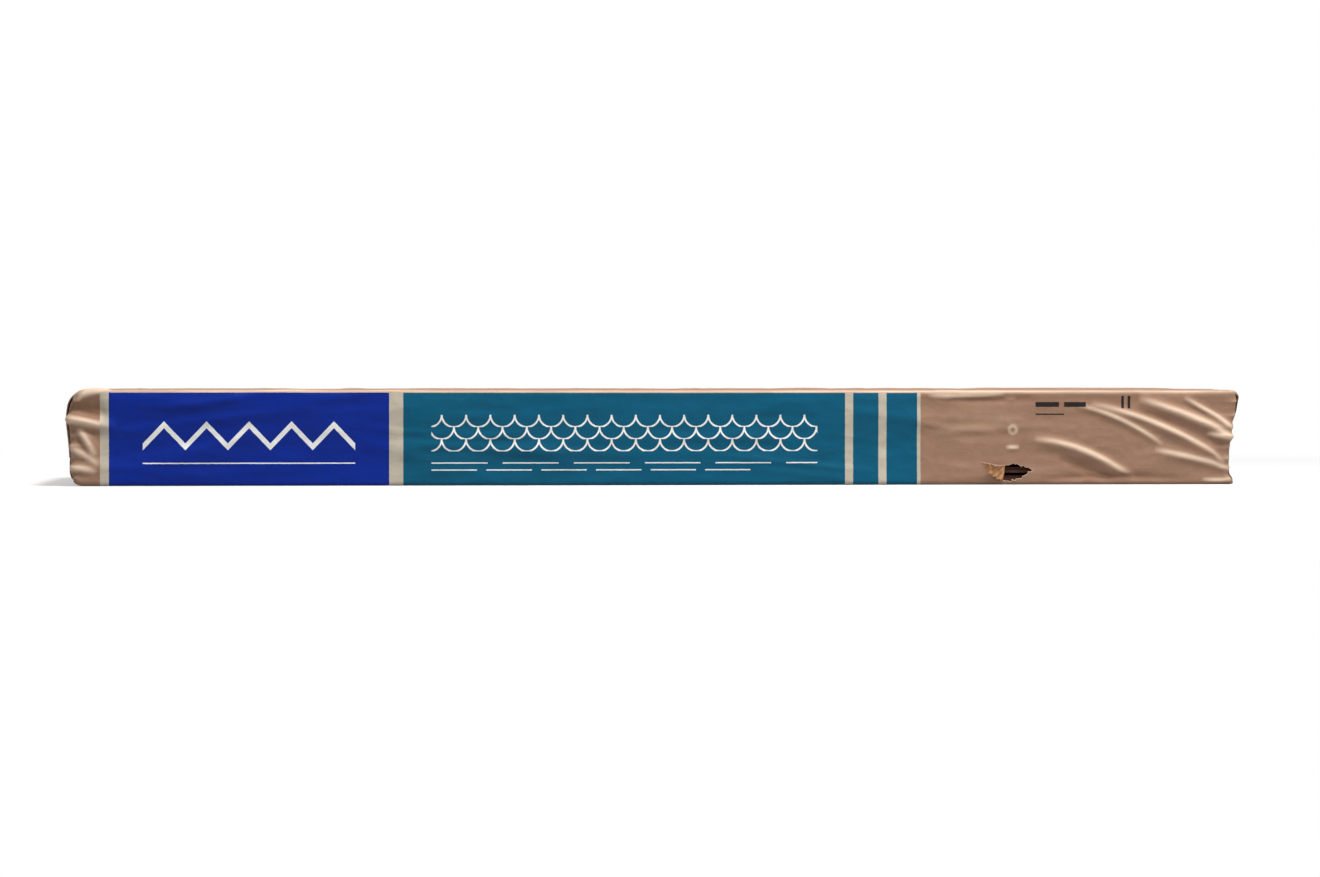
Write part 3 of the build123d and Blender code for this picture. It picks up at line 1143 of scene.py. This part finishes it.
def floor():
    """A wide pale floor, which turns into plain white away from the bundle."""
    corners = [(x * FLOOR_REACH, y * FLOOR_REACH, 0) for x, y in ((-1, -1), (1, -1), (1, 1), (-1, 1))]
    mesh = bpy.data.meshes.new("floor")
    mesh.from_pydata(corners, [], [(0, 1, 2, 3)])
    piece = bpy.data.objects.new("floor", mesh)
    piece.location.z = -FLOOR_DROP
    bpy.context.scene.collection.objects.link(piece)
    nodes = Nodes(bpy.data.materials.new("pale_floor"))
    place = nodes.add("ShaderNodeTexCoord", {}).outputs["Object"]
    distance = nodes.add("ShaderNodeVectorMath", {0: place}, operation="LENGTH").outputs["Value"]
    seen = nodes.seen()
    far = nodes.math("MULTIPLY", nodes.ramp(distance, *FLOOR_FADE), seen)
    pale = nodes.mix(seen, FLOOR_DIM, FLOOR_PALE)
    near_floor = nodes.add("ShaderNodeBsdfPrincipled", {"Base Color": pale, "Roughness": ROUGH})
    far_floor = nodes.add("ShaderNodeEmission", {"Color": (1, 1, 1, 1)})
    both = nodes.add("ShaderNodeMixShader", {0: far, 1: near_floor.outputs[0], 2: far_floor.outputs[0]})
    nodes.add("ShaderNodeOutputMaterial", {"Surface": both.outputs[0]})
    piece.data.materials.append(nodes.owner)


def lamp(name, place, size, watts):
    """A soft square lamp that faces the bundle."""
    light = bpy.data.lights.new(name, "AREA")
    light.size = size
    light.energy = watts
    piece = bpy.data.objects.new(name, light)
    piece.location = place
    piece.rotation_euler = (-Vector(place)).to_track_quat("-Z", "Y").to_euler()
    bpy.context.scene.collection.objects.link(piece)


def world():
    """Even light from all round, which the camera and reflections see as white."""
    nodes = Nodes(bpy.data.worlds.new("studio"))
    strength = nodes.math("MULTIPLY_ADD", nodes.seen(), 1 - WORLD_LIGHT, WORLD_LIGHT)
    background = nodes.add("ShaderNodeBackground", {"Color": (1, 1, 1, 1), "Strength": strength})
    nodes.add("ShaderNodeOutputWorld", {"Surface": background.outputs[0]})
    bpy.context.scene.world = nodes.owner


def camera():
    """A long lens, level with the bundle and a little from its left."""
    data = bpy.data.cameras.new("camera")
    data.lens = VIEW_LENS
    piece = bpy.data.objects.new("camera", data)
    azimuth = math.radians(VIEW_AZIMUTH)
    elevation = math.radians(VIEW_ELEVATION)
    level = math.cos(elevation)
    back = Vector((math.sin(azimuth) * level, -math.cos(azimuth) * level, math.sin(elevation)))
    piece.location = Vector(VIEW_AIM) + back * VIEW_DISTANCE
    piece.rotation_euler = (-back).to_track_quat("-Z", "Y").to_euler()
    bpy.context.scene.collection.objects.link(piece)
    bpy.context.scene.camera = piece


sheet = wrapper()
for material in (outer_paper(), inner_paper(), paper_edge()):
    sheet.data.materials.append(material)
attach(sheet, "root")
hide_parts("paper_wrapper")

granule_material = granules()
for name in shingles:
    frame["nodes"][name].data.materials.clear()
    frame["nodes"][name].data.materials.append(granule_material)

floor()
world()
lamp("key", (0.5, -1.1, 2.4), size=0.6, watts=80)
lamp("fill", (1.7, -1.9, 0.8), size=1.2, watts=7)
lamp("back", (-0.9, 2.3, 1.3), size=1.2, watts=16)
camera()
bpy.context.scene.view_settings.view_transform = "Standard"
